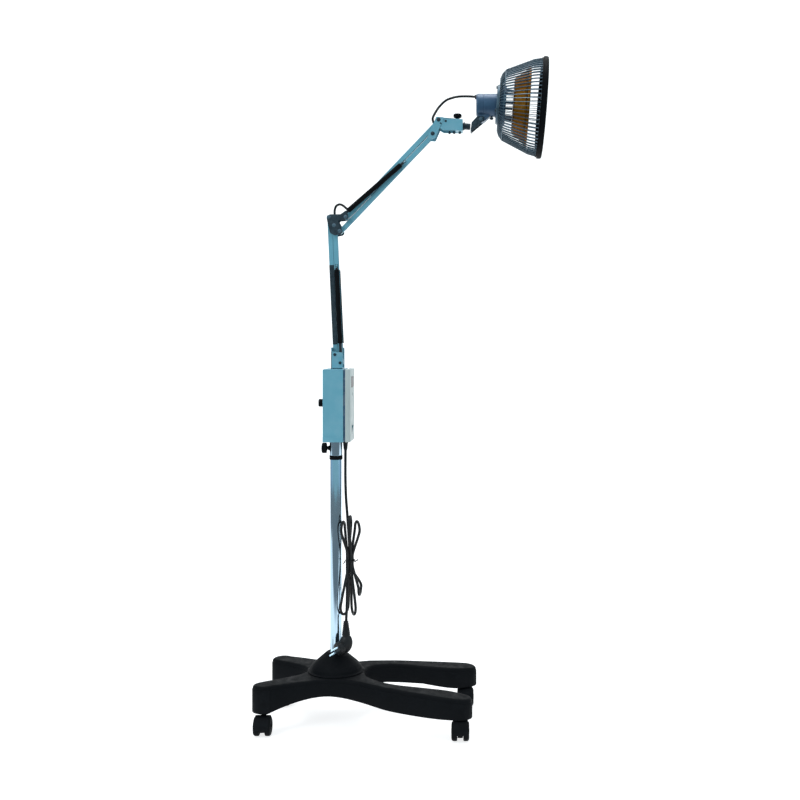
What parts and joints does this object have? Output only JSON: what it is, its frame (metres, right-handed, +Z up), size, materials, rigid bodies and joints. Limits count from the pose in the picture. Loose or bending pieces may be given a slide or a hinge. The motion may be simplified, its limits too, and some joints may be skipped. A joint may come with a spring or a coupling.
{
  "type": "heat therapy lamp",
  "caption": "Floor-standing heat-therapy lamp: castor base, column, control box, two-part spring arm and a caged round head with a mineral plate.",
  "frame": {"origin": "on the floor, under the middle of the whole lamp without its mains cord", "axes": "+Z up, +X from the column towards the lamp head, +Y to the left of someone looking along +X"},
  "size_m": [0.6304, 0.2856, 1.4491],
  "materials": {
    "black_plastic": "moulded, semi-gloss",
    "chrome": "polished",
    "blue_paint": "satin light steel-blue paint",
    "cover_plastic": "off-white, fine texture",
    "dark_metal": "dark grey-green",
    "head_paint": "blue-grey, satin",
    "cage_steel": "light blue-grey, satin",
    "bronze": "brown-gold heat-tinted",
    "mineral": "dry dark ceramic coating",
    "ceramic": "unglazed",
    "spring_steel": "bright wire",
    "ballast_iron": "rough",
    "cord_black": "matte PVC",
    "display": "smoked lens",
    "rocker_green": "moulded"
  },
  "bodies": {
    "base": {"base_shell": "black_plastic", "ballast_plate": "ballast_iron", "hub_cone": "black_plastic", "column": "chrome"},
    "castor_left_front": {"castor_left_front_hood": "black_plastic"},
    "castor_left_front_wheel_left": {"castor_left_front_wheel_left": "black_plastic"},
    "castor_left_front_wheel_right": {"castor_left_front_wheel_right": "black_plastic"},
    "castor_left_back": {"castor_left_back_hood": "black_plastic"},
    "castor_left_back_wheel_left": {"castor_left_back_wheel_left": "black_plastic"},
    "castor_left_back_wheel_right": {"castor_left_back_wheel_right": "black_plastic"},
    "castor_right_front": {"castor_right_front_hood": "black_plastic"},
    "castor_right_front_wheel_left": {"castor_right_front_wheel_left": "black_plastic"},
    "castor_right_front_wheel_right": {"castor_right_front_wheel_right": "black_plastic"},
    "castor_right_back": {"castor_right_back_hood": "black_plastic"},
    "castor_right_back_wheel_left": {"castor_right_back_wheel_left": "black_plastic"},
    "castor_right_back_wheel_right": {"castor_right_back_wheel_right": "black_plastic"},
    "stop_ring": {"stop_ring": "black_plastic"},
    "carrier": {"sleeve": "chrome", "box_rear_shell": "blue_paint", "box_cover": "cover_plastic", "display_window": "display", "arm_bracket": "blue_paint", "mains_gland": "cord_black", "mains_cord": "cord_black", "mains_hank": "cord_black", "mains_tail": "cord_black", "mains_plug": "cord_black"},
    "clamp_knob": {"clamp_knob": "black_plastic"},
    "rocker": {"rocker_switch": "rocker_green"},
    "fuse_cap": {"fuse_cap": "black_plastic"},
    "timer_button": {"timer_button": "cover_plastic"},
    "lower_arm": {"lower_bar": "blue_paint", "lower_spring_front": "spring_steel", "lower_sleeve_front": "black_plastic", "lower_spring_back": "spring_steel", "lower_sleeve_back": "black_plastic"},
    "lower_link": {"lower_link": "blue_paint"},
    "elbow": {"elbow_plate_front": "dark_metal", "elbow_plate_back": "dark_metal", "elbow_lead": "cord_black"},
    "upper_arm": {"upper_bar": "blue_paint", "upper_spring_front": "spring_steel", "upper_sleeve_front": "black_plastic", "upper_spring_back": "spring_steel", "upper_sleeve_back": "black_plastic"},
    "upper_link": {"upper_link": "blue_paint"},
    "wrist": {"wrist_bracket": "blue_paint", "wrist_lead_rear": "cord_black"},
    "wrist_knob": {"wrist_knob": "black_plastic"},
    "yoke": {"swivel_shaft": "dark_metal", "yoke": "dark_metal", "wrist_lead_front": "cord_black"},
    "head": {"neck": "head_paint", "rear_drum": "head_paint", "cage": "cage_steel", "rim": "black_plastic", "front_guard": "spring_steel", "plate_holder": "bronze", "mineral_plate": "mineral", "heater": "ceramic"}
  },
  "joints": [
    {"name": "castor_left_front_swivel", "type": "hinge", "parent": "base", "child": "castor_left_front", "pos_m": [-0.29024, -0.07657, 0.046], "axis": [0, 0, 1], "continuous": true},
    {"name": "castor_left_front_roll_left", "type": "hinge", "parent": "castor_left_front", "child": "castor_left_front_wheel_left", "pos_m": [-0.29024, -0.09257, 0.02], "axis": [1, 0, 0], "continuous": true},
    {"name": "castor_left_front_roll_right", "type": "hinge", "parent": "castor_left_front", "child": "castor_left_front_wheel_right", "pos_m": [-0.29024, -0.09257, 0.02], "axis": [1, 0, 0], "continuous": true},
    {"name": "castor_left_back_swivel", "type": "hinge", "parent": "base", "child": "castor_left_back", "pos_m": [-0.28347, 0.11731, 0.046], "axis": [0, 0, 1], "continuous": true},
    {"name": "castor_left_back_roll_left", "type": "hinge", "parent": "castor_left_back", "child": "castor_left_back_wheel_left", "pos_m": [-0.28347, 0.10131, 0.02], "axis": [1, 0, 0], "continuous": true},
    {"name": "castor_left_back_roll_right", "type": "hinge", "parent": "castor_left_back", "child": "castor_left_back_wheel_right", "pos_m": [-0.28347, 0.10131, 0.02], "axis": [1, 0, 0], "continuous": true},
    {"name": "castor_right_front_swivel", "type": "hinge", "parent": "base", "child": "castor_right_front", "pos_m": [0.12498, -0.10608, 0.046], "axis": [0, 0, 1], "continuous": true},
    {"name": "castor_right_front_roll_left", "type": "hinge", "parent": "castor_right_front", "child": "castor_right_front_wheel_left", "pos_m": [0.12498, -0.12208, 0.02], "axis": [1, 0, 0], "continuous": true},
    {"name": "castor_right_front_roll_right", "type": "hinge", "parent": "castor_right_front", "child": "castor_right_front_wheel_right", "pos_m": [0.12498, -0.12208, 0.02], "axis": [1, 0, 0], "continuous": true},
    {"name": "castor_right_back_swivel", "type": "hinge", "parent": "base", "child": "castor_right_back", "pos_m": [0.1328, 0.11779, 0.046], "axis": [0, 0, 1], "continuous": true},
    {"name": "castor_right_back_roll_left", "type": "hinge", "parent": "castor_right_back", "child": "castor_right_back_wheel_left", "pos_m": [0.1328, 0.10179, 0.02], "axis": [1, 0, 0], "continuous": true},
    {"name": "castor_right_back_roll_right", "type": "hinge", "parent": "castor_right_back", "child": "castor_right_back_wheel_right", "pos_m": [0.1328, 0.10179, 0.02], "axis": [1, 0, 0], "continuous": true},
    {"name": "height_slide", "type": "slide", "parent": "base", "child": "stop_ring", "axis": [0, 0, 1], "range_m": [0, 0.1]},
    {"name": "arm_swivel", "type": "hinge", "parent": "stop_ring", "child": "carrier", "pos_m": [-0.14994, 0.01559, 0.577], "axis": [0, 0, 1], "range_deg": [-170, 170]},
    {"name": "clamp_knob_turn", "type": "hinge", "parent": "carrier", "child": "clamp_knob", "pos_m": [-0.17494, 0.01559, 0.5926], "axis": [-1, 0, 0], "range_deg": [-360, 360]},
    {"name": "rocker_press", "type": "hinge", "parent": "carrier", "child": "rocker", "pos_m": [-0.11644, 0.01559, 0.633], "axis": [0, 1, 0], "range_deg": [0, 9]},
    {"name": "fuse_cap_turn", "type": "hinge", "parent": "carrier", "child": "fuse_cap", "pos_m": [-0.17694, 0.01559, 0.6915], "axis": [-1, 0, 0], "range_deg": [0, 90]},
    {"name": "timer_button_press", "type": "slide", "parent": "carrier", "child": "timer_button", "axis": [-1, 0, 0], "range_m": [0, 0.001], "stiffness_N_per_m": 600, "springref_m": -0.001},
    {"name": "lower_arm_hinge", "type": "hinge", "parent": "carrier", "child": "lower_arm", "pos_m": [-0.13874, 0.01559, 0.7796], "axis": [0, 1, 0], "range_deg": [-1.5, 70], "deforming": ["lower_spring_front", "lower_spring_back"]},
    {"name": "lower_link_hinge", "type": "hinge", "parent": "carrier", "child": "lower_link", "pos_m": [-0.15014, 0.01559, 0.7976], "axis": [0, 1, 0], "range_deg": [-1.5, 70]},
    {"name": "elbow_level_hinge", "type": "hinge", "parent": "lower_arm", "child": "elbow", "pos_m": [-0.15214, 0.01559, 1.079], "axis": [0, 1, 0], "range_deg": [-70, 1.5]},
    {"name": "upper_arm_hinge", "type": "hinge", "parent": "elbow", "child": "upper_arm", "pos_m": [-0.13964, 0.01559, 1.0667], "axis": [0, 1, 0], "range_deg": [-2, 90], "deforming": ["upper_spring_front", "upper_spring_back"]},
    {"name": "upper_link_hinge", "type": "hinge", "parent": "elbow", "child": "upper_link", "pos_m": [-0.12674, 0.01559, 1.0971], "axis": [0, 1, 0], "range_deg": [-2, 90], "deforming": ["elbow_lead"]},
    {"name": "wrist_level_hinge", "type": "hinge", "parent": "upper_arm", "child": "wrist", "pos_m": [0.06279, 0.01559, 1.27853], "axis": [0, 1, 0], "range_deg": [-90, 2]},
    {"name": "wrist_knob_turn", "type": "hinge", "parent": "wrist", "child": "wrist_knob", "pos_m": [0.11656, 0.01559, 1.32], "axis": [0, 0, 1], "range_deg": [-360, 360]},
    {"name": "head_roll", "type": "hinge", "parent": "wrist", "child": "yoke", "pos_m": [0.12806, 0.01559, 1.298], "axis": [0.9969, 0, -0.0785], "range_deg": [-90, 90], "deforming": ["wrist_lead_rear"]},
    {"name": "head_tilt", "type": "hinge", "parent": "yoke", "child": "head", "pos_m": [0.16806, 0.01559, 1.311], "axis": [0, 1, 0], "range_deg": [-35, 35], "deforming": ["wrist_lead_front"]}
  ],
  "couplings": [
    {"joint": "lower_link_hinge", "follows": "lower_arm_hinge", "ratio": 1},
    {"joint": "elbow_level_hinge", "follows": "lower_arm_hinge", "ratio": -1},
    {"joint": "upper_link_hinge", "follows": "upper_arm_hinge", "ratio": 1},
    {"joint": "wrist_level_hinge", "follows": "upper_arm_hinge", "ratio": -1}
  ]
}
